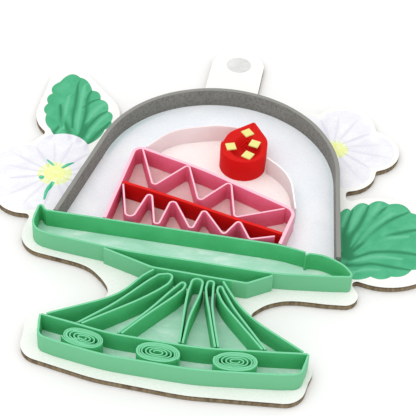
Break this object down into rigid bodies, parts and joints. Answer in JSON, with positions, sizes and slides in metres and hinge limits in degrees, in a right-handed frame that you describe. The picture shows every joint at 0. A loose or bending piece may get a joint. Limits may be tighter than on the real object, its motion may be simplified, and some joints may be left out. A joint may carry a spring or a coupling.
{
  "type": "quilled paper picture",
  "caption": "Quilled paper picture of a cake slice under a dome on a footed stand: card strips on edge over a printed, laser-cut board.",
  "frame": {"origin": "middle of the board's underside, in the plane that it lies on", "axes": "+Z out of the picture's face, +Y up the picture from the foot to the dome's knob, +X to the picture's right"},
  "size_m": [0.1166, 0.1242, 0.0081],
  "materials": {
    "greyboard": "bare, with a scorched laser-cut edge",
    "printed_paper": "matt watercolour print on white paper",
    "green_card": "matt, fine fibre",
    "grey_card": "matt, fine fibre",
    "pink_card": "matt, paler on its cut edges",
    "red_card": "matt, fine fibre",
    "white_card": "matt, fine fibre",
    "yellow_card": "matt, fine fibre"
  },
  "bodies": {
    "root": {"backing_board": "greyboard", "cake_outline_strip": "pink_card", "collar_strip": "green_card", "cream_left_strip": "white_card", "cream_right_strip": "white_card", "dome_strip": "grey_card", "foot_base_strip": "green_card", "foot_bottom_strip": "green_card", "foot_coil_1": "green_card", "foot_coil_2": "green_card", "foot_coil_3": "green_card", "foot_left_strip": "green_card", "foot_loop_1": "green_card", "foot_loop_2": "green_card", "foot_loop_3": "green_card", "foot_loop_4": "green_card", "foot_loop_5": "green_card", "foot_right_strip": "green_card", "jam_strip": "red_card", "plate_bowl_strip": "green_card", "plate_rim_strip": "green_card", "printed_sheet": "printed_paper", "seed_1": "yellow_card", "seed_2": "yellow_card", "seed_3": "yellow_card", "seed_4": "yellow_card", "strawberry_coil": "red_card", "zigzag_lower": "pink_card", "zigzag_upper": "pink_card"}
  },
  "joints": []
}
